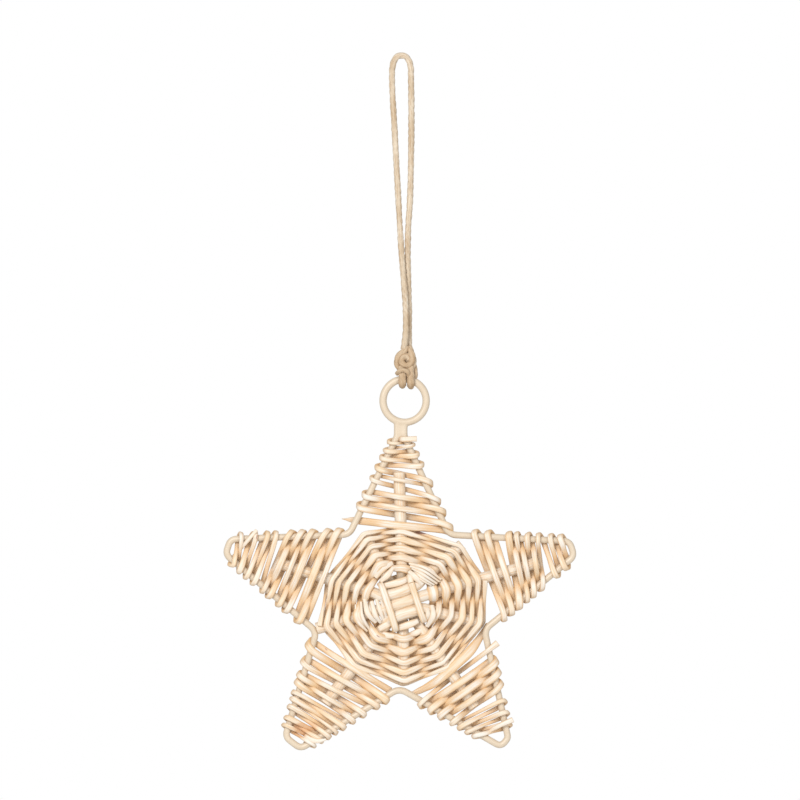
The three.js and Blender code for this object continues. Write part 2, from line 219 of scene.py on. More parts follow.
def new_piece(name, bm, materials, nodes):
    """Makes the piece's object at the origin, smooth, riding on the one body."""
    bmesh.ops.recalc_face_normals(bm, faces=bm.faces)
    mesh = bpy.data.meshes.new(name)
    bm.to_mesh(mesh)
    bm.free()
    for material in materials:
        mesh.materials.append(material)
    mesh.shade_smooth()
    piece = bpy.data.objects.new(name, mesh)
    bpy.context.scene.collection.objects.link(piece)
    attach(piece, "root")
    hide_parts(*nodes)
    print(name, len(mesh.polygons), "faces")
    return piece


# %% [markdown]
# Materials start as empty ones
#
# The pieces name their materials before the shaders are written, so the shader cells at the end
# can be read, and changed, in one place.

# %% Material names
willow = bpy.data.materials.new("peeled_willow")
willow_end = bpy.data.materials.new("willow_cut_end")
rib_willow = bpy.data.materials.new("rib_willow")
wire_paint = bpy.data.materials.new("cream_paint")
jute = bpy.data.materials.new("jute_twine")
knot_jute = bpy.data.materials.new("knot_jute")
print("materials:", len(bpy.data.materials))

# %% [markdown]
# The hanging twine
#
# The loop is one length of three-ply jute twine that leaves the knot, turns over at the top and
# comes back. It hangs limp and taut under the star's weight. Its route is a list of points,
# the same as in the frame. The three plies show as lobes of the section, which
# turns once in every lay, eleven millimetres.

# %% Twine route
TWINE = 3.1
LOOP_ROUTE = [
    (1.3, -1.5, -145.4), (2.3, -1.8, -138), (2.2, -1.5, -122), (0.6, -0.9, -102),
    (-0.5, -0.2, -85), (-1.3, 0, -70.8), (-3.2, 0, -35.8), (-4.5, 0, -10), (-4.1, 0, -3.4),
    (-2.4, 0, 0.5), (0.2, 0, 1.55), (2.9, 0, 0.5), (4.7, 0, -3.4), (5, 0, -10), (5.2, 0, -35.8),
    (4.5, 0, -70.8), (3.6, 0.2, -85), (3.4, 1.1, -102), (3.9, 1.7, -122), (4, 2, -138),
    (4.3, 1.7, -145.4),
]
TWINE_LAY = 11.0
TWINE_SIDES = 24

loop_line = line_through([Vector(point) * MM for point in LOOP_ROUTE], 0.6 * MM)


# %% Twine section
def plies(turn, distance):
    """The radius round the section: three plies, turned along the twine by its lay."""
    ply = abs(math.cos(1.5 * (turn + 2 * math.pi * distance / (TWINE_LAY * MM))))
    fray = 0.05 * waver(distance / MM + 1.3 * math.cos(turn), 2.3, 3)
    return 0.76 + 0.26 * ply ** 0.5 + fray


def twine_piece(bm, line, scale=1.0, seed=1):
    """Lofts one run of twine, a little uneven in thickness."""
    def size(_, distance):
        width = TWINE * MM * scale * (1 + 0.06 * waver(distance / MM, 9, seed))
        return width, width
    loft(bm, stations(line, lambda i: Vector((0.31, 0.93, 0.2)), size), TWINE_SIDES, shape=plies)


loop_bm = bmesh.new()
twine_piece(loop_bm, loop_line)
twine_loop = new_piece("twine_loop", loop_bm, [jute], ["hanging_twine"])

# %% [markdown]
# The wire frame
#
# One wire, bent with pliers into five blunt points and five valleys, makes the star. Its two ends
# run up side by side as the stem, and a ring is welded on top. Cream paint fills the weld. A tube
# along the bent line, another round the ring and a short core between the stem's wires are joined
# by a remesh, which melts the joints together as paint does.

# %% Wire frame outline
CORNERS = {
    "top_left_valley": (128.1, 43.1, 5.5),
    "left_tip": (162.2, 101.8, 4.0, (11.0, 11.0)),
    "left_valley": (198.8, 45.4, 5.5),
    "lower_left_tip": (232.1, 101.8, 4.0, (13.6, 13.6)),
    "bottom_valley": (267.9, 43.0, 6.5),
    "lower_right_tip": (305.9, 92.8, 3.0, (6.0, 7.5)),
    "right_valley": (341.5, 43.2, 5.5),
    "right_tip": (17.6, 98.9, 4.0, (10.8, 10.8)),
    "top_right_valley": (55.6, 41.0, 6.0),
}
STEM_BEND = 6.0


def corner_point(name):
    """Where the wires would meet at a corner if it weren't bent round."""
    return polar(*CORNERS[name][:2])


def stem_foot(side):
    """Where a wire of the stem turns off into the top arm: -1 is left, 1 is right."""
    return Vector((STEM_X + side * STEM_SPACING / 2, STEM_TOP - STEM_LENGTH))


def bent_corner(before, corner, after, radius, step=1.0):
    """The corner of a bent wire, as an arc of points."""
    arriving = (corner - before).normalized()
    leaving = (after - corner).normalized()
    turn = -arriving.angle_signed(leaving)
    reach = radius * math.tan(abs(turn) / 2)
    side = Vector((-arriving.y, arriving.x)) * math.copysign(radius, turn)
    centre = corner - arriving * reach + side
    count = max(2, round(abs(turn) * radius / step))
    arc = []
    for k in range(count + 1):
        arc.append(centre + Matrix.Rotation(turn * k / count, 2) @ -side)
    return arc


def outline():
    """The wire's line: down from the ring, round the star and up to the ring again."""
    names = list(CORNERS)
    path = [(stem_foot(-1), STEM_BEND)]
    for i, name in enumerate(names):
        point = corner_point(name)
        if len(CORNERS[name]) == 3:
            path.append((point, CORNERS[name][2]))
            continue
        for trim, neighbour in zip(CORNERS[name][3], (names[i - 1], names[i + 1])):
            way = (corner_point(neighbour) - point).normalized()
            path.append((point + way * trim, CORNERS[name][2]))
    path.append((stem_foot(1), STEM_BEND))
    tops = [Vector((STEM_X + side * STEM_SPACING / 2, STEM_TOP)) for side in (-1, 1)]
    stops = [tops[0], *[point for point, _ in path], tops[1]]
    points = [tops[0]]
    for i, (corner, bend) in enumerate(path):
        points += bent_corner(stops[i], corner, stops[i + 2], bend)
    return [*points, tops[1]]


# %% Wire frame mesh
WELD = 2.9
RING_WIRE = 3.8
RING_STEPS = 72
# Where the ring's wire starts, in degrees, and how far it bows backwards in its middle
RING_JOINT = -88
RING_BOW = 0.25
PAINT_VOXEL = 0.42 * MM


def wire_tube(bm, line, width, sides):
    """A round wire of one thickness along a line."""
    size = (width * MM, width * MM)
    loft(bm, stations(line, lambda i: Vector((0, 1, 0)), lambda i, distance: size), sides)



wire_bm = bmesh.new()
flat_line = [at(point.x, point.y) for point in outline()]
wire_line = [flat_line[0]]
for here, there in zip(flat_line, flat_line[1:]):
    pieces = max(1, round((there - here).length / (4 * MM)))
    wire_line += [here.lerp(there, k / pieces) for k in range(1, pieces + 1)]
wire_tube(wire_bm, wire_line, WIRE, 20)
ring_line = []
for k in range(RING_STEPS + 1):
    spoke = polar(RING_JOINT + 360 * k / RING_STEPS, RING_RADIUS)
    depth = RING_BOW * math.sin(math.pi * k / RING_STEPS)
    ring_line.append(Vector((RING_X + spoke.x, depth, RING_Z + spoke.y)) * MM)
wire_tube(wire_bm, ring_line, RING_WIRE, 20)
weld_line = [at(STEM_X, STEM_TOP + 0.5 - k) for k in range(round(STEM_LENGTH) + 2)]
wire_tube(wire_bm, weld_line, WELD, 16)
painted_wire = new_piece("painted_wire", wire_bm, [wire_paint], ["wire_frame"])
melt = painted_wire.modifiers.new("melt", "REMESH")
melt.mode = "VOXEL"
melt.voxel_size = PAINT_VOXEL
melt.use_smooth_shade = True
even = painted_wire.modifiers.new("even", "SMOOTH")
even.factor = 0.5
even.iterations = 4

# %% [markdown]
# The ribs
#
# Five thick rods cross at the centre and fan out into ten spokes. Three lie in front and two
# behind. A willow rod is never quite round or straight: it wavers, tapers and swells at a bud's
# place, and its ends are cut with a knife.

# %% Ribs
RIB = 5.6
RIB_GAP = 0.5
SPOKE_TURN = 36
FAN_RADIUS = 10.4
LEVEL_RADIUS = 17.0
FRONT_SLANT = 18
SPOKES = [
    (16.4, 71), (44, 41.5), (91.5, 65), (119, 38.5), (162.5, 66),
    (197, 45.0), (232.7, 63.5), (271.5, 39.5), (304.5, 63.5), (345, 40.5),
]
RIBS = {
    "rib_left_arm": (4, 1, 1),
    "rib_right_arm": (5, 0, 1),
    "rib_lower_left_arm": (6, 9, 1),
    "rib_top_arm": (2, 8, -1),
    "rib_back": (3, 7, -1),
}
RIB_SIDES = 24
# How much thicker the rods are than the frame's, across and through
RIB_FULLNESS = (1.02, 1.05)
RIB_END_EASE = 0.35 * MM


def spoke_foot(index):
    """Where a spoke leaves the crossing."""
    return polar(FRONT_SLANT + index * SPOKE_TURN, FAN_RADIUS)


def spoke_end(index):
    """Where a spoke's tip is cut."""
    return polar(*SPOKES[index])


def spoke_point(index, radius):
    """A point of a spoke's line at a distance from the centre."""
    share = (radius - FAN_RADIUS) / (SPOKES[index][1] - FAN_RADIUS)
    return spoke_foot(index).lerp(spoke_end(index), share)


def spoke_lift(index, radius):
    """How far a spoke stands in front of the star's plane."""
    side = next(side for start, end, side in RIBS.values() if index in (start, end))
    share = min(max((LEVEL_RADIUS - radius) / (LEVEL_RADIUS - FAN_RADIUS), 0), 1)
    return side * (RIB + RIB_GAP) / 2 * share


def rib_line(start, end):
    """A rib's line from the end of one spoke through the crossing to the end of another."""
    def spoke_line(index):
        radii = [FAN_RADIUS, (FAN_RADIUS + LEVEL_RADIUS) / 2, LEVEL_RADIUS, SPOKES[index][1]]
        return [at(*spoke_point(index, radius), spoke_lift(index, radius)) for radius in radii]
    return line_through([*reversed(spoke_line(start)), *spoke_line(end)], 1.0 * MM)


for seed, (name, (start, end, side)) in enumerate(RIBS.items()):
    rib_bm = bmesh.new()
    line = rib_line(start, end)

    def rib_size(_, distance, seed=seed):
        swell = 1 + 0.035 * waver(distance / MM, 14, seed) + 0.02 * waver(distance / MM, 4, seed + 9)
        return RIB * MM * swell * RIB_FULLNESS[0], RIB * MM * swell * RIB_FULLNESS[1]

    found = stations(line, lambda i: Vector((0, 1, 0)), rib_size)
    loft(rib_bm, found, RIB_SIDES, round_ends=RIB_END_EASE)
    new_piece(f"willow_{name}", rib_bm, [rib_willow, willow_end], [name])


# %% [markdown]
# The weaving rods
#
# The weavers are thinner rods, flattened by the pull of the work. They are widest where they lie
# on a rib or a wire, and squeezed narrow where two of them pass each other. One function makes
# them all: it takes the points of the rod's line and the width at each point.

# %% Weaver
WEAVER_SIDES = 16
STEP = 0.7 * MM
FLATNESS = 0.72
END_EASE = 0.25 * MM
END_THICK = 1.7


def weaver(bm, points, widths, thickness, ways, seed):
    """Lofts a weaving rod through points (right, up, front), with a width and a way at each."""
    spots = [at(*point) for point in points]
    line = line_through(spots, STEP)
    marks = distances(line)
    shares = []
    k = 0
    for i, mark in enumerate(marks):
        while k < len(spots) - 2 and (line[i] - spots[k + 1]).length < 1e-7:
            k += 1
        shares.append((k, mark))
    starts = {}
    for k, mark in shares:
        starts.setdefault(k, mark)

    def between(values, i):
        k, mark = shares[i]
        share = (mark - starts[k]) / (starts.get(k + 1, marks[-1]) - starts[k])
        share = share * share * (3 - 2 * share)
        return values[k] * (1 - share) + values[k + 1] * share

    def size(i, distance):
        width = between(widths, i) * (1 + 0.08 * waver(distance / MM, 17, seed))
        depth = between(thickness, i) * (1 + 0.08 * waver(distance / MM, 11, seed + 4))
        return width * MM, depth * MM

    def roll(distance):
        return 0.12 * waver(distance / MM, 13, seed + 2)

    found = stations(line, lambda i: between(ways, i), size, roll)
    loft(bm, found, WEAVER_SIDES, round_ends=END_EASE, squareness=FLATNESS)


def tucked_end(bm, points, widths, seed):
    """A short length of rod, given as points, whose ends are tucked in or cut."""
    start = Vector(points[0][:2])
    along = Vector(points[-1][:2]) - start
    across = Vector((-along.y, 0, along.x)).normalized()
    weaver(bm, points, widths, [END_THICK] * len(points), [across] * len(points), seed)


# %% [markdown]
# The centre
#
# Two rods chase each other round the ten spokes. Each goes in front of one spoke and behind the
# next, and the second rod follows half a turn behind the first, so it is in front where the
# first one is behind. The inner rows are broad and loose, and the outer ones slim and close. The
# rods are stiff, so they run straight between the spokes and bend there. The ends of the first
# rods are tucked in beside the crossing.

# %% Centre weavers
# Where the first and the last row cross each spoke
CENTRE_INNER = [15.6, 17.0, 15.4, 17.0, 15.6, 17.0, 16.8, 16.6, 16.4, 15.6]
CENTRE_EDGE = [41.6, 40.2, 36.7, 38.9, 37.6, 41.6, 39.6, 40.6, 38.8, 40.4]
# How much further apart the first rows are, how many turns come before the first full one, and
# after how many turns the edge is reached and the rod ends
CENTRE_LOOSENESS = 0.3
CENTRE_LEAD_IN = 0.5
CENTRE_SPREAD_TURNS = 4.15
CENTRE_TURNS = 4.6
CENTRE_START_SPOKE = 4
CENTRE_THICK = 1.8
# From one spoke to the next: how far the rod stays level on a spoke, where it starts to slope, how
# high it lies where the two rods pass, and half the share of the way that this takes
LEVEL_HALF = 1.0
SLOPE_START = 2.8
PASSING_HEIGHT = 0.75
PASSING_SHARE = 0.06
# How far a row strays from its place
ROW_WAVER = 0.4


def row_radius(index, turns):
    """Where a strand crosses a spoke after a number of turns. The first rows are further apart."""
    share = (turns + CENTRE_LEAD_IN) / (CENTRE_SPREAD_TURNS + CENTRE_LEAD_IN)
    share = share * (1 + CENTRE_LOOSENESS * (1 - share))
    return CENTRE_INNER[index] + (CENTRE_EDGE[index] - CENTRE_INNER[index]) * share


def centre_strand(phase, seed):
    """A strand's points, widths, depths and ways. Strand 0 is in front of the even spokes."""
    count = len(SPOKES)
    wave = RIB / 2 + CENTRE_THICK / 2 + TOUCH
    points, widths, ways, depths = [], [], [], []
    for row in range(round(-CENTRE_LEAD_IN * count), round(CENTRE_TURNS * count)):
        here = (CENTRE_START_SPOKE + phase * count // 2 + row) % count
        there = (here + 1) % count
        radius = row_radius(here, row / count)
        next_radius = row_radius(there, (row + 1) / count)
        pitch = row_radius(here, row / count + 0.5) - row_radius(here, row / count - 0.5)
        start = spoke_point(here, radius + ROW_WAVER * waver(row * 3.1, 4, seed))
        end = spoke_point(there, next_radius + ROW_WAVER * waver(row * 3.1 + 3.1, 4, seed))
        face = 1 if here % 2 == phase else -1
        full = (0.9 + 0.5 * pitch) * (1 + 0.24 * waver(row * 3.7, 9, seed))
        squeezed = min(0.52 * pitch, full)
        length = (end - start).length
        leaving = spoke_lift(here, radius) + face * wave
        arriving = spoke_lift(there, radius) - face * wave
        slope = SLOPE_START / length
        for share, height, width in (
            (LEVEL_HALF / length, leaving, full),
            (slope, leaving * (1 - slope), full),
            (0.5 - PASSING_SHARE, face * PASSING_HEIGHT, squeezed),
            (0.5 + PASSING_SHARE, -face * PASSING_HEIGHT, squeezed),
            (1 - slope, arriving * (1 - slope), full),
            (1 - LEVEL_HALF / length, arriving, full),
        ):
            spot = start.lerp(end, share)
            outward = spot.normalized()
            points.append((spot.x, spot.y, height))
            ways.append(Vector((outward.x, 0, outward.y)))
            widths.append(width)
            depths.append(CENTRE_THICK)
    return points, widths, depths, ways


# The ends of the first rods, by the weaver that they belong to. Each has places (right, up and to
# the front of the centre) and then widths.
FIRST_ENDS = {
    "centre_weaver_a": [
        ([(-23.4, -1.0, 1.6), (-22.8, -8.4, 3.4), (-17.6, -14.4, 1.2)], [1.2, 1.7, 1.2]),
        ([(-20.6, 0.4, 2.0), (-20.0, -7.0, 4.2), (-16.4, -13.6, 1.6)], [1.4, 2.0, 1.4]),
        ([(-19.0, 1.8, 2.8), (-17.2, -5.2, 5.4), (-13.2, -9.8, 2.6)], [2.0, 3.0, 2.0]),
        ([(-15.4, 0.6, 3.0), (-13.8, -5.4, 5.6), (-10.8, -10.2, 2.6)], [2.2, 2.9, 1.8]),
        ([(-13.0, 1.8, 3.4), (-11.2, -3.8, 5.4), (-9.2, -9.2, 3.0)], [1.7, 2.6, 1.8]),
        ([(-10.8, 2.0, 3.8), (-9.2, -2.8, 5.2), (-7.8, -8.2, 3.4)], [1.4, 2.2, 1.6]),
        ([(11.6, -1.2, 3.4), (12.6, -5.6, 5.6), (11.4, -9.2, 3.0)], [2.0, 2.7, 1.8]),
        ([(14.6, -1.4, 3.0), (15.2, -6.4, 5.2), (12.2, -12.0, 2.0)], [2.2, 3.1, 2.0]),
        ([(-12.6, -14.6, 0.6), (-7.6, -16.4, 2.4), (-1.6, -16.6, 0.6)], [2.2, 3.4, 2.2]),
    ],
    "centre_weaver_b": [
        ([(3.3, 19.6, 2.4), (11.6, 17.2, 5.8), (19.2, 11.6, 3.0)], [1.5, 1.7, 1.2]),
        ([(3.9, 18.2, 2.8), (10.8, 15.7, 6.2), (18.4, 10.4, 3.2)], [1.4, 1.7, 1.2]),
        ([(4.8, 17.0, 3.2), (10.0, 14.3, 6.4), (17.2, 9.5, 3.4)], [1.4, 1.7, 1.2]),
        ([(6.0, 15.8, 3.4), (9.4, 12.9, 6.4), (15.8, 8.9, 3.4)], [1.3, 1.7, 1.1]),
        ([(7.1, 14.4, 3.6), (9.4, 11.7, 6.0), (14.4, 8.6, 3.2)], [1.2, 1.5, 1.0]),
        ([(-13.6, 12.6, 1.6), (-10.4, 17.0, 3.4), (-5.0, 19.8, 1.0)], [3.0, 4.4, 2.6]),
        ([(-11.0, 10.6, 2.6), (-7.6, 13.6, 3.8), (-4.6, 17.6, 1.4)], [2.4, 3.4, 2.2]),
        ([(-3.8, 16.4, 1.0), (0.0, 17.0, 3.0), (4.0, 16.0, 1.0)], [2.4, 3.4, 2.2]),
        ([(3.0, -16.2, 0.4), (7.0, -15.0, 2.6), (11.0, -12.6, 1.0)], [2.2, 3.4, 2.2]),
    ],
}

for phase, name in enumerate(("centre_weaver_a", "centre_weaver_b")):
    centre_bm = bmesh.new()
    points, widths, depths, ways = centre_strand(phase, 20 + phase)
    weaver(centre_bm, points, widths, depths, ways, 20 + phase)
    for seed, (points, widths) in enumerate(FIRST_ENDS[name]):
        tucked_end(centre_bm, points, widths, 60 + seed)
    new_piece(f"willow_{name}", centre_bm, [willow, willow_end], [name])

# %% [markdown]
# The crossing
#
# A rod is bound round the crossing: it holds the three front ribs on the two behind them. Its two
# front lengths show, and so do its turns above and below the ribs and its cut end.

# %% Crossing binding
BINDING_HALF_WIDTH = 7.2
BINDING_HALF_HEIGHT = 12.2
BINDING_WIDTH = 3.3
BINDING_THICK = 1.7
# The ends of the binding rod and of rods tucked under it, as places and then widths
BINDING_ENDS = [
    ([(-8.8, 8.4, 3.8), (-2.2, 10.1, 5.0), (3.4, 12.0, 3.8)], [3.0, 3.7, 3.2]),
    ([(-1.8, -12.6, 3.6), (3.2, -10.9, 4.8), (7.8, -9.0, 3.6)], [3.2, 3.7, 2.8]),
    ([(-11.6, -13.2, 3.4), (-8.0, -11.0, 4.6), (-4.6, -9.4, 3.4)], [3.4, 3.8, 3.0]),
    ([(3.2, 15.6, 4.2), (6.4, 12.8, 6.0), (10.0, 9.2, 4.2)], [2.2, 3.6, 3.0]),
]

binding_front = RIB + RIB_GAP / 2 + BINDING_THICK / 2 + TOUCH
half, high, front = BINDING_HALF_WIDTH, BINDING_HALF_HEIGHT, binding_front
quarter = [
    (half, high - 4.0, front), (half + 0.2, high - 0.6, front * 0.75),
    (half + 0.4, high - 0.1, -front * 0.5), (half - 2.2, high, -front),
]
turned = list(reversed(quarter))
binding = [
    *quarter, *[(-u, v, w) for u, v, w in turned],
    *[(-u, -v, w) for u, v, w in quarter], *[(u, -v, w) for u, v, w in turned],
]
slant = Matrix.Rotation(math.radians(FRONT_SLANT), 2)
binding_points = []
for u, v, w in [*binding, binding[0]]:
    flat = slant @ Vector((u, v))
    binding_points.append((flat.x, flat.y, w))
binding_ways = []
for u, v, w in [*binding, binding[0]]:
    sideways = Vector((math.copysign(1, u), 0))
    upwards = Vector((0, math.copysign(1, v)))
    flat = slant @ (sideways if w > -0.9 * front else upwards)
    binding_ways.append(Vector((flat.x, 0, flat.y)))
binding_bm = bmesh.new()
weaver(
    binding_bm, binding_points, [BINDING_WIDTH] * len(binding_points),
    [BINDING_THICK] * len(binding_points), binding_ways, 31)
for seed, (points, widths) in enumerate(BINDING_ENDS):
    tucked_end(binding_bm, points, widths, 80 + seed)
new_piece("willow_binding", binding_bm, [willow, willow_end], ["crossing_binding"])

# %% [markdown]
# The arms
#
# Each arm has one weaver that works from the tip towards the centre. Where the rib doesn't reach
# it makes figures of eight round the two wires. Further in, it goes over one wire, behind the
# rib and over the other wire, and comes back behind the wires and in front of the rib. The lists
# give where the rod crosses in front of each wire, from the arm's tip.

# %% Arms
# Of the two sides of an arm, first is the one where the rod starts, and under is the one from which it
# passes behind the rib. Both count in the order of the valleys.
ARMS = {
    "right": dict(
        tip="right_tip", valleys=("top_right_valley", "right_valley"), spoke=0, first=0, under=0,
        start="hidden", finish="hidden",
        fronts=(
            [15.1, 20.5, 26.7, 32.2, 37.4, 41.3, 51.9, 58.4],
            [17.9, 23.9, 31, 36.9, 41, 46.2, 51.3, 56.3])),
    "top": dict(
        tip=None, valleys=("top_left_valley", "top_right_valley"), spoke=2, first=1, under=0,
        start="cut", finish="splinter",
        fronts=(
            [4, 8.5, 12.9, 18.7, 25, 34, 40.2, 53],
            [1.6, 5.6, 10.9, 16.5, 23.5, 33.1, 39.6, 47.8])),
    "left": dict(
        tip="left_tip", valleys=("left_valley", "top_left_valley"), spoke=4, first=1, under=0,
        start="cut", finish="tucked",
        fronts=(
            [17, 21.4, 26.2, 31, 37, 41.3, 47.7, 52.6, 60.7, 66],
            [20.5, 16.6, 23.6, 29.4, 33.7, 39.3, 44.8, 50, 57.3, 63.2])),
    "lower_left": dict(
        tip="lower_left_tip", valleys=("bottom_valley", "left_valley"), spoke=6, first=0, under=0,
        start="hidden", finish="tucked",
        fronts=(
            [19.5, 24, 28.3, 32.7, 37.3, 43, 49.4, 57, 62.6, 72],
            [19.4, 23.3, 28.9, 32.9, 36.3, 40.4, 44.3, 50.6, 59])),
    "lower_right": dict(
        tip="lower_right_tip", valleys=("right_valley", "bottom_valley"), spoke=8, first=1, under=1,
        start="hidden", finish="cut",
        fronts=(
            [15.1, 20.6, 26.5, 32.5, 38.8, 44.3, 52.8],
            [18.4, 23.1, 27.9, 32.6, 39.8, 45.5, 51.5])),
}
# More rod ends in the arms, as places and widths: a frayed one at the lower left tip, a cut one
# at the lower right tip, and the last, broad rod beside the centre in the lower right arm
ARM_ENDS = {
    "lower_left": [
        ([(-49.0, -66.6, 1.2), (-45.6, -68.6, 2.6), (-42.2, -69.0, 3.2), (-38.0, -68.2, 3.4)],
         [2.6, 3.0, 2.4, 1.0]),
    ],
    "lower_right": [
        ([(43.0, -11.0, -3.2), (39.6, -16.6, -2.4), (33.6, -24.4, 1.8), (25.3, -32.2, 4.0),
          (19.5, -37.4, 2.6), (14.9, -40.9, 0.4), (9.6, -43.8, -1.6), (4.0, -46.4, -2.8)],
         [2.6, 3.2, 4.6, 4.3, 4.2, 4.2, 3.4, 2.2]),
        ([(42.6, -65.0, 0.6), (48.4, -61.4, 3.0), (55.2, -58.4, 3.2)], [1.8, 2.5, 2.8]),
    ],
}
ARM_THICK = 1.8
TIP_WIDTH = 2.25
BASE_WIDTH = 3.2
BASE_DISTANCE = 60.0
CUT_END = 3.0
CUT_WIDTH = 2.8
SPLINTER_END = 4.5
SPLINTER_WIDTH = 0.5
# How far a turn round a wire moves along it, as a share of the gap to the next turn, or on its own
TURN_SHARE = 0.48
LONE_TURN = 2.4
RIB_PASS_HALF = 1.7
RIB_PAST_END = 1.2


def arm_route(arm, seed):
    """The points, widths, depths and ways of an arm's weaver."""
    tips = [corner_point(arm["tip"])] * 2 if arm["tip"] else [stem_foot(-1), stem_foot(1)]
    wires = [(corner_point(name) - tips[side]).normalized() for side, name in enumerate(arm["valleys"])]
    order = []
    for i in range(max(map(len, arm["fronts"]))):
        for side in (arm["first"], 1 - arm["first"]):
            if i < len(arm["fronts"][side]):
                order.append((side, arm["fronts"][side][i]))
    foot = spoke_foot(arm["spoke"])
    rib_way = (spoke_end(arm["spoke"]) - foot).normalized()
    rib_reach = SPOKES[arm["spoke"]][1]
    wrap = WIRE / 2 + ARM_THICK / 2 + TOUCH
    over_rib = RIB / 2 + ARM_THICK / 2 + TOUCH
    spots, widths = [], []

    def on_wire(side, distance):
        return tips[side] + wires[side] * distance

    def width_at(distance):
        share = min(distance / BASE_DISTANCE, 1)
        return TIP_WIDTH + (BASE_WIDTH - TIP_WIDTH) * share

    def put(point, height, width):
        spots.append((point.x, point.y, height))
        widths.append(width)

    gaps = []
    for i, (side, front) in enumerate(order):
        same = [distance for where, distance in order if where == side]
        k = same.index(front)
        near = [abs(front - other) for other in same[max(k - 1, 0):k + 2] if other != front]
        gaps.append(min(near) * TURN_SHARE if near else LONE_TURN)
    leave_face = 1
    for i, ((start, here), (end, there)) in enumerate(zip(order, order[1:])):
        last = i == len(order) - 2
        leave = here if leave_face == 1 else here + gaps[i]
        under = start == arm["under"]
        a = on_wire(start, leave)
        crossing = None
        guess = on_wire(end, there) - a
        meet = foot - a
        share = meet.cross(rib_way) / guess.cross(rib_way)
        if 0.1 < share < 0.9:
            crossing = a + guess * share
        by_rib = crossing is not None and crossing.length < rib_reach + RIB_PAST_END
        arrive_face = 1 if by_rib and under else -1
        arrive = there if arrive_face == 1 else there - gaps[i + 1]
        b = on_wire(end, arrive)
        across = (b - a).normalized()
        wide = width_at((here + there) / 2) * (1 + 0.28 * waver(i * 3.3, 4, seed))
        slants = [1 / max(abs(across.cross(wires[side])), 0.5) for side in (0, 1)]

        def round_wire(side, distance, degrees, way, face, width):
            turn = math.radians(degrees)
            reach = way * math.cos(turn) * wrap * slants[side]
            put(on_wire(side, distance) + across * reach, face * math.sin(turn) * wrap, width)

        if i == 0 and arm["start"] == "cut":
            put(a - across * (wrap + CUT_END), wrap * 0.9, wide * 0.9)
            round_wire(start, leave, 75, -1, 1, wide * 0.95)
        elif i == 0:
            round_wire(start, leave - LONE_TURN, 130, -1, -1, wide * 0.8)
            round_wire(start, leave - 1.6, 60, -1, -1, wide)
            round_wire(start, leave - 0.8, 0, -1, 1, wide)
            round_wire(start, leave, 60, -1, 1, wide)
        else:
            round_wire(start, leave - leave_face * 0.12 * gaps[i], 60, -1, leave_face, wide)
        round_wire(start, leave, 115, -1, leave_face, wide)
        if by_rib:
            share = (foot - a).cross(rib_way) / across.cross(rib_way)
            crossing = a + across * share
            face = -1 if under else 1
            for offset in (-RIB_PASS_HALF, RIB_PASS_HALF):
                put(crossing + across * offset, face * over_rib, wide)
        else:
            middle = a.lerp(b, 0.5)
            put(middle, 0.15 * leave_face, wide * 0.82)
        round_wire(end, arrive, 115, 1, arrive_face, wide)
        if last and arm["finish"] == "cut":
            end_width = max(wide, CUT_WIDTH)
            round_wire(end, arrive, 70, 1, arrive_face, end_width)
            put(b + across * (wrap + CUT_END), arrive_face * wrap * 0.9, end_width * 1.2)
        elif last and arm["finish"] == "splinter":
            round_wire(end, arrive, 70, 1, arrive_face, wide * 0.8)
            put(b + across * (wrap + SPLINTER_END), arrive_face * wrap * 0.7, SPLINTER_WIDTH)
        elif last and arm["finish"] == "hidden":
            round_wire(end, arrive + 0.5, 60, 1, arrive_face, wide)
            round_wire(end, arrive + 1, 0, 1, arrive_face, wide)
            round_wire(end, arrive + 1.8, 75, 1, -arrive_face, wide * 0.9)
        elif not last:
            half_gap = gaps[i + 1] / 2
            round_wire(end, arrive + half_gap * 0.4, 55, 1, arrive_face, wide)
            round_wire(end, arrive + half_gap, 0, 1, arrive_face, wide)
        leave_face = -arrive_face
    way = Vector((rib_way.x, 0, rib_way.y))
    return spots, widths, [ARM_THICK] * len(spots), [way] * len(spots)


for seed, (name, arm) in enumerate(ARMS.items()):
    arm_bm = bmesh.new()
    weaver(arm_bm, *arm_route(arm, 40 + seed), 40 + seed)
    for k, (points, widths) in enumerate(ARM_ENDS.get(name, ())):
        tucked_end(arm_bm, points, widths, 90 + k)
    new_piece(
        f"willow_arm_{name}", arm_bm, [willow, willow_end], [f"arm_weaver_{name}"])

# %% [markdown]
# The knot
#
# The doubled twine is tied in a fat overhand knot above the ring, and two bights of it go round
# the ring's wire. The knot is drawn as the turns that show: one down the left side, a thicker one
# that comes down the right side and curls into the middle, one behind them that fills the knot, a
# strand across the front of the bights and one down the right of them.

# %% Twine knot
KNOT_X = 2.4
KNOT_Z = -151.2
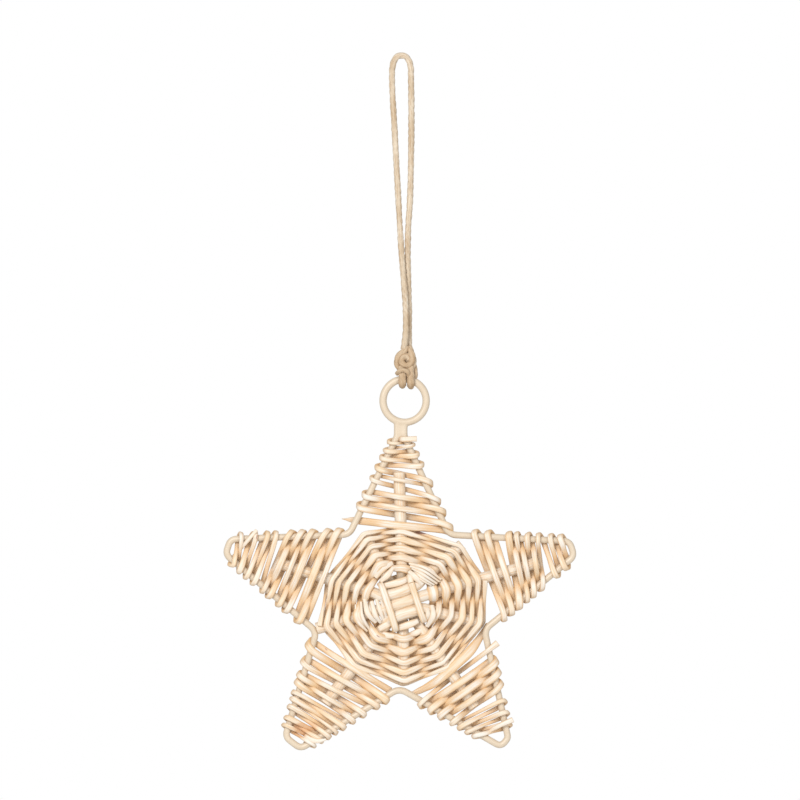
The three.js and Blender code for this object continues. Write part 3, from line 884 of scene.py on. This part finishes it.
# Each run of twine in the knot: how much thicker it is than the loop's, then its points as right
# of, above and in front of the knot's middle
KNOT_TURNS = [
    (1.0, [(0.9, 6.8, 0.6), (-0.7, 5.0, 2.0), (-3.2, 2.9, 2.3), (-4.4, -0.4, 1.7), (-3.4, -3.4, 1.5),
           (-0.6, -4.4, 2.2), (2.4, -3.6, 2.0), (3.9, -0.8, 1.2), (3.3, 2.2, 0.2), (1.2, 4.2, -0.8),
           (-1.6, 3.6, -1.6), (-3.4, 0.8, -1.8), (-2.8, -2.6, -1.6), (-0.6, -4.2, -1.0)]),
    (1.12, [(1.5, 6.6, -0.4), (2.4, 4.6, 1.2), (3.3, 1.6, 2.4), (2.4, -1.5, 3.0), (-0.2, -2.3, 3.3),
            (-2.2, -0.4, 3.3), (-1.2, 1.8, 2.4), (0.7, 2.1, 1.6), (1.2, 0.8, 1.2), (0.8, 0.0, -0.5)]),
    (1.0, [(-2.2, 2.2, -2.4), (0.6, 3.2, -2.8), (3.2, 1.6, -2.4), (3.0, -1.8, -2.4), (0.2, -2.6, -2.8),
           (-2.6, -1.6, -2.2), (-2.0, 1.4, -0.6), (0.6, 1.8, 0.4), (0.6, -0.6, 0.8)]),
    (0.75, [(-4.4, -6.4, 1.0), (-3.3, -5.2, 4.2), (-1.2, -4.6, 5.4), (0.9, -5.6, 5.0),
            (1.5, -7.6, 3.2)]),
    (0.8, [(4.3, -2.2, -1.0), (4.7, -4.6, 0.2), (4.8, -7.4, 0.0), (4.2, -9.4, -1.4)]),
]
# The two bights: how far they lie right of the knot's middle, how much thicker their twine is, and
# how far their line runs from the middle of the ring's wire
BIGHT_OFFSETS = (-1.7, 2.5)
BIGHT_THICKER = 1.28
BIGHT_REACH = 2.75

knot_bm = bmesh.new()
for seed, (thicker, run) in enumerate(KNOT_TURNS):
    spots = [Vector((KNOT_X + x, -y, KNOT_Z + z)) * MM for x, z, y in run]
    twine_piece(knot_bm, line_through(spots, 0.5 * MM), thicker, 5 + seed)
for seed, offset in enumerate(BIGHT_OFFSETS):
    x = KNOT_X + offset
    wire_z = RING_Z + math.sqrt(RING_RADIUS ** 2 - (x - RING_X) ** 2)
    spots = [Vector((x - 0.2, -2.4, KNOT_Z - 2.5)) * MM]
    for degrees in (170, 215, 270, 325, 370):
        turn = math.radians(degrees)
        back, up = math.cos(turn) * BIGHT_REACH, math.sin(turn) * BIGHT_REACH
        spots.append(Vector((x, back, wire_z + up)) * MM)
    spots.append(Vector((x + 0.2, 2.2, KNOT_Z - 1.5)) * MM)
    twine_piece(knot_bm, line_through(spots, 0.5 * MM), BIGHT_THICKER, 12 + seed)
new_piece("knot", knot_bm, [knot_jute], ["twine_knot"])

# %% [markdown]
# Shaders
#
# Peeled willow is a pale, silky wood. Seen closely it has fine grain along the rod, warmer
# stretches, and here and there a reddish bruise. A node group makes the grain from the
# rod attribute, and each material sets its own colours. Three patches of colour, which show
# plainly in the real star, are laid on afterwards by their places. The weavers' sides, and the
# stretches where they pass the star's plane, are painted darker and warmer: this is painted shade.


# %% Shader helpers
def link(tree, start, end):
    tree.links.new(start, end)


def node(tree, kind, **values):
    made = tree.nodes.new(kind)
    for name, value in values.items():
        setattr(made, name, value)
    return made


def grain_group():
    """Grain along a rod: a broad tone, fine streaks, bruises, a height for the bump, and Edge, a painted
    shade mask towards the rod's sides.
    """
    tree = bpy.data.node_groups.new("rod_grain", "ShaderNodeTree")
    tree.interface.new_socket("Seed", in_out="INPUT", socket_type="NodeSocketFloat")
    for name in ("Tone", "Streaks", "Bruise", "Edge", "Height"):
        tree.interface.new_socket(name, in_out="OUTPUT", socket_type="NodeSocketFloat")
    inputs = node(tree, "NodeGroupInput")
    outputs = node(tree, "NodeGroupOutput")
    rod = node(tree, "ShaderNodeAttribute", attribute_name="rod")
    parts = node(tree, "ShaderNodeSeparateXYZ")
    link(tree, rod.outputs["Vector"], parts.inputs[0])

    def noise_at(scale_across, scale_along, detail, extra):
        combine = node(tree, "ShaderNodeCombineXYZ")
        for axis, scale in zip("XYZ", (scale_across, scale_across, scale_along)):
            times = node(tree, "ShaderNodeMath", operation="MULTIPLY")
            link(tree, parts.outputs[axis], times.inputs[0])
            times.inputs[1].default_value = scale
            link(tree, times.outputs[0], combine.inputs[axis])
        shift = node(tree, "ShaderNodeMath", operation="ADD")
        link(tree, inputs.outputs["Seed"], shift.inputs[0])
        shift.inputs[1].default_value = extra
        texture = node(tree, "ShaderNodeTexNoise", noise_dimensions="4D")
        link(tree, combine.outputs[0], texture.inputs["Vector"])
        link(tree, shift.outputs[0], texture.inputs["W"])
        texture.inputs["Scale"].default_value = 1.0
        texture.inputs["Detail"].default_value = detail
        return texture.outputs["Fac"]

    def ramp(value, low, high):
        mapped = node(tree, "ShaderNodeMapRange", interpolation_type="SMOOTHSTEP")
        link(tree, value, mapped.inputs["Value"])
        mapped.inputs["From Min"].default_value = low
        mapped.inputs["From Max"].default_value = high
        return mapped.outputs["Result"]

    tone = noise_at(0.02, 0.055, 1.0, 0.0)
    link(tree, ramp(tone, 0.36, 0.66), outputs.inputs["Tone"])
    streaks = noise_at(1.5, 0.1, 4.0, 11.0)
    link(tree, ramp(streaks, 0.42, 0.66), outputs.inputs["Streaks"])
    bruise = noise_at(0.7, 0.2, 2.0, 23.0)
    link(tree, ramp(bruise, 0.7, 0.78), outputs.inputs["Bruise"])
    # Edge is painted shade: a mask that rises from the middle of a rod's section to its sides, where the
    # colour is darkened and warmed.
    from_middle = node(tree, "ShaderNodeMath", operation="ABSOLUTE")
    link(tree, parts.outputs["X"], from_middle.inputs[0])
    link(tree, ramp(from_middle.outputs[0], 0.7, 1.8), outputs.inputs["Edge"])
    fine = noise_at(5.0, 0.5, 3.0, 31.0)
    link(tree, fine, outputs.inputs["Height"])
    return tree


rod_grain = grain_group()


# %% Willow
def mix(tree, share, first, second):
    """A colour mix: each colour is a socket or a colour."""
    made = node(tree, "ShaderNodeMix", data_type="RGBA")
    if isinstance(share, float):
        made.inputs["Factor"].default_value = share
    else:
        link(tree, share, made.inputs["Factor"])
    sockets = [socket for socket in made.inputs if socket.type == "RGBA"]
    for socket, value in zip(sockets, (first, second)):
        if isinstance(value, tuple):
            socket.default_value = (*value, 1)
        else:
            link(tree, value, socket)
    return next(socket for socket in made.outputs if socket.type == "RGBA")


def scaled(tree, value, factor):
    made = node(tree, "ShaderNodeMath", operation="MULTIPLY")
    link(tree, value, made.inputs[0])
    made.inputs[1].default_value = factor
    return made.outputs[0]


# Patches of colour as right, up, half of the length, half of the height and the colour: a purplish
# bruise on the last row at the top, and orange bark left at the lower left tip
SPOTS = [
    (9.8, 34.9, 4.2, 1.1, (0.22, 0.07, 0.06)),
    (-48.6, -62.2, 7.0, 3.0, (0.66, 0.36, 0.17)),
    (-51.6, -65.6, 4.5, 2.4, (0.60, 0.32, 0.15)),
]


def spot_mask(tree, right, up, half_length, half_height):
    """1 inside an oval on the star's plane, 0 outside it."""
    place = node(tree, "ShaderNodeTexCoord")
    shift = node(tree, "ShaderNodeVectorMath", operation="SUBTRACT")
    link(tree, place.outputs["Object"], shift.inputs[0])
    shift.inputs[1].default_value = at(right, up)
    shape = node(tree, "ShaderNodeVectorMath", operation="MULTIPLY")
    link(tree, shift.outputs[0], shape.inputs[0])
    shape.inputs[1].default_value = (1 / (half_length * MM), 0, 1 / (half_height * MM))
    away = node(tree, "ShaderNodeVectorMath", operation="LENGTH")
    link(tree, shape.outputs[0], away.inputs[0])
    inside = node(tree, "ShaderNodeMapRange", interpolation_type="SMOOTHSTEP")
    link(tree, away.outputs["Value"], inside.inputs["Value"])
    inside.inputs["From Min"].default_value = 0.6
    inside.inputs["From Max"].default_value = 1.1
    inside.inputs["To Min"].default_value = 0.75
    inside.inputs["To Max"].default_value = 0.0
    return inside.outputs["Result"]


def willow_shader(material, pale, warm, edge, bruise, roughness, seed, edge_shade=0.0, tucked=0.0):
    """Willow's colours. The edge share paints shade on a rod's sides, and tucked paints warmer, darker
    shade where the rod passes the star's plane.
    """
    material.use_nodes = True
    tree = material.node_tree
    shader = tree.nodes["Principled BSDF"]
    grain = node(tree, "ShaderNodeGroup", node_tree=rod_grain)
    grain.inputs["Seed"].default_value = seed
    tone = mix(tree, grain.outputs["Tone"], pale, warm)
    streaked = mix(tree, scaled(tree, grain.outputs["Streaks"], 0.6), tone, edge)
    # Painted shade: the rod's sides are mixed towards the edge colour.
    edged = mix(tree, scaled(tree, grain.outputs["Edge"], edge_shade), streaked, edge)
    # Painted shade: a rod is mixed towards the edge colour where it lies near the star's plane, where it
    # passes under other rods.
    if tucked:
        place = node(tree, "ShaderNodeTexCoord")
        parts = node(tree, "ShaderNodeSeparateXYZ")
        link(tree, place.outputs["Object"], parts.inputs[0])
        away = node(tree, "ShaderNodeMath", operation="ABSOLUTE")
        link(tree, parts.outputs["Y"], away.inputs[0])
        near = node(tree, "ShaderNodeMapRange", interpolation_type="SMOOTHSTEP")
        link(tree, away.outputs[0], near.inputs["Value"])
        near.inputs["From Min"].default_value = 0.5 * MM
        near.inputs["From Max"].default_value = 3.2 * MM
        near.inputs["To Min"].default_value = tucked
        near.inputs["To Max"].default_value = 0.0
        edged = mix(tree, near.outputs["Result"], edged, edge)
    marked = mix(tree, scaled(tree, grain.outputs["Bruise"], 0.7), edged, bruise)
    for spot in SPOTS:
        marked = mix(tree, spot_mask(tree, *spot[:4]), marked, spot[4])
    link(tree, marked, shader.inputs["Base Color"])
    shader.inputs["Roughness"].default_value = roughness
    shader.inputs["Specular IOR Level"].default_value = 0.4
    bump = node(tree, "ShaderNodeBump")
    bump.inputs["Strength"].default_value = 0.25
    bump.inputs["Distance"].default_value = 0.15 * MM
    link(tree, grain.outputs["Height"], bump.inputs["Height"])
    link(tree, bump.outputs["Normal"], shader.inputs["Normal"])


PALE = (0.80, 0.745, 0.665)
WARM = (0.79, 0.65, 0.48)
# The edge colour is the orange of the grain's streaks, and also the colour of the painted shade.
EDGE = (0.71, 0.44, 0.20)
BRUISE = (0.30, 0.10, 0.07)
# The weavers get painted shade on their sides and where they pass the star's plane.
willow_shader(willow, PALE, WARM, EDGE, BRUISE, 0.45, 1.0, edge_shade=0.7, tucked=0.6)
willow_shader(rib_willow, (0.80, 0.72, 0.61), (0.78, 0.65, 0.50), EDGE, BRUISE, 0.5, 4.0)
willow_shader(willow_end, (0.80, 0.68, 0.50), (0.66, 0.46, 0.27), EDGE, BRUISE, 0.8, 7.0)
print("willow shaders made")

# %% [markdown]
# The paint
#
# The paint is a thick cream coat with a satin shine. Its colour and surface are a little uneven.

# %% Paint
wire_paint.use_nodes = True
paint_tree = wire_paint.node_tree
paint_shader = paint_tree.nodes["Principled BSDF"]
paint_place = node(paint_tree, "ShaderNodeTexCoord")
paint_noise = node(paint_tree, "ShaderNodeTexNoise")
paint_noise.inputs["Scale"].default_value = 220
paint_noise.inputs["Detail"].default_value = 3
link(paint_tree, paint_place.outputs["Object"], paint_noise.inputs["Vector"])
paint_colour = mix(paint_tree, paint_noise.outputs["Fac"], (0.715, 0.605, 0.465), (0.63, 0.51, 0.37))
link(paint_tree, paint_colour, paint_shader.inputs["Base Color"])
paint_shader.inputs["Roughness"].default_value = 0.38
paint_bump = node(paint_tree, "ShaderNodeBump")
paint_bump.inputs["Strength"].default_value = 0.2
paint_bump.inputs["Distance"].default_value = 0.4 * MM
link(paint_tree, paint_noise.outputs["Fac"], paint_bump.inputs["Height"])
link(paint_tree, paint_bump.outputs["Normal"], paint_shader.inputs["Normal"])
print("paint made")

# %% [markdown]
# The jute
#
# Jute is matt and full of fine fibres that follow the plies.

# %% Jute
for material, light, dark, groove in (
    (jute, (0.71, 0.605, 0.47), (0.59, 0.465, 0.325), 0.5),
    # The knot's copy of the jute is darker, with more of the dark fibre colour: painted shade for the
    # knot's crowded turns.
    (knot_jute, (0.66, 0.53, 0.38), (0.53, 0.385, 0.245), 0.6),
):
    material.use_nodes = True
    jute_tree = material.node_tree
    jute_shader = jute_tree.nodes["Principled BSDF"]
    jute_grain = node(jute_tree, "ShaderNodeGroup", node_tree=rod_grain)
    jute_grain.inputs["Seed"].default_value = 13.0
    jute_tone = mix(jute_tree, jute_grain.outputs["Tone"], light, dark)
    fibres = scaled(jute_tree, jute_grain.outputs["Streaks"], groove)
    link(jute_tree, mix(jute_tree, fibres, jute_tone, (0.40, 0.24, 0.11)), jute_shader.inputs["Base Color"])
    jute_shader.inputs["Roughness"].default_value = 0.9
    jute_bump = node(jute_tree, "ShaderNodeBump")
    jute_bump.inputs["Strength"].default_value = 0.6
    jute_bump.inputs["Distance"].default_value = 0.25 * MM
    link(jute_tree, jute_grain.outputs["Height"], jute_bump.inputs["Height"])
    link(jute_tree, jute_bump.outputs["Normal"], jute_shader.inputs["Normal"])
print("jute made")

# %% [markdown]
# Light
#
# The ornament is lit as in a studio: a white surround, a large soft lamp high on the left and a
# weaker one on the right. The floor is pale and lies below the picture.

# %% World and lamps
world = bpy.data.worlds.new("studio")
bpy.context.scene.world = world
world.use_nodes = True
sky = world.node_tree
surround = sky.nodes["Background"]
surround.inputs["Color"].default_value = (1, 1, 1, 1)
surround.inputs["Strength"].default_value = 0.52
backing = node(sky, "ShaderNodeBackground")
backing.inputs["Color"].default_value = (1, 1, 1, 1)
backing.inputs["Strength"].default_value = 1.0
rays = node(sky, "ShaderNodeLightPath")
choose = node(sky, "ShaderNodeMixShader")
link(sky, rays.outputs["Is Camera Ray"], choose.inputs[0])
link(sky, surround.outputs[0], choose.inputs[1])
link(sky, backing.outputs[0], choose.inputs[2])
link(sky, choose.outputs[0], sky.nodes["World Output"].inputs["Surface"])


def lamp(name, place, size, power, target=(0, 0, -0.25)):
    """A square soft lamp that looks at the star."""
    data = bpy.data.lights.new(name, "AREA")
    data.size = size
    data.energy = power
    made = bpy.data.objects.new(name, data)
    made.location = place
    made.rotation_euler = (Vector(target) - Vector(place)).to_track_quat("-Z", "Y").to_euler()
    bpy.context.scene.collection.objects.link(made)


lamp("key_lamp", (-0.5, -1.3, 0.35), 0.6, 15.0)
lamp("fill_lamp", (0.9, -1.4, -0.2), 0.8, 6.0)
bpy.context.scene.view_settings.view_transform = "Standard"
print("lamps:", len(bpy.data.lights))

# %% Floor
FLOOR_BELOW = 80 * MM
floor_bm = bmesh.new()
floor_height = cad_box[0][2] - FLOOR_BELOW
bmesh.ops.create_circle(
    floor_bm, cap_ends=True, segments=96, radius=0.5, matrix=Matrix.Translation((0, 0, floor_height)))
floor_mesh = bpy.data.meshes.new("floor")
floor_bm.to_mesh(floor_mesh)
floor_bm.free()
floor_paint = bpy.data.materials.new("pale_floor")
floor_paint.use_nodes = True
floor_paint.node_tree.nodes["Principled BSDF"].inputs["Base Color"].default_value = (0.9, 0.9, 0.9, 1)
floor_paint.node_tree.nodes["Principled BSDF"].inputs["Roughness"].default_value = 0.9
floor_mesh.materials.append(floor_paint)
floor = bpy.data.objects.new("floor", floor_mesh)
bpy.context.scene.collection.objects.link(floor)
print("floor height:", round(floor_height, 3))
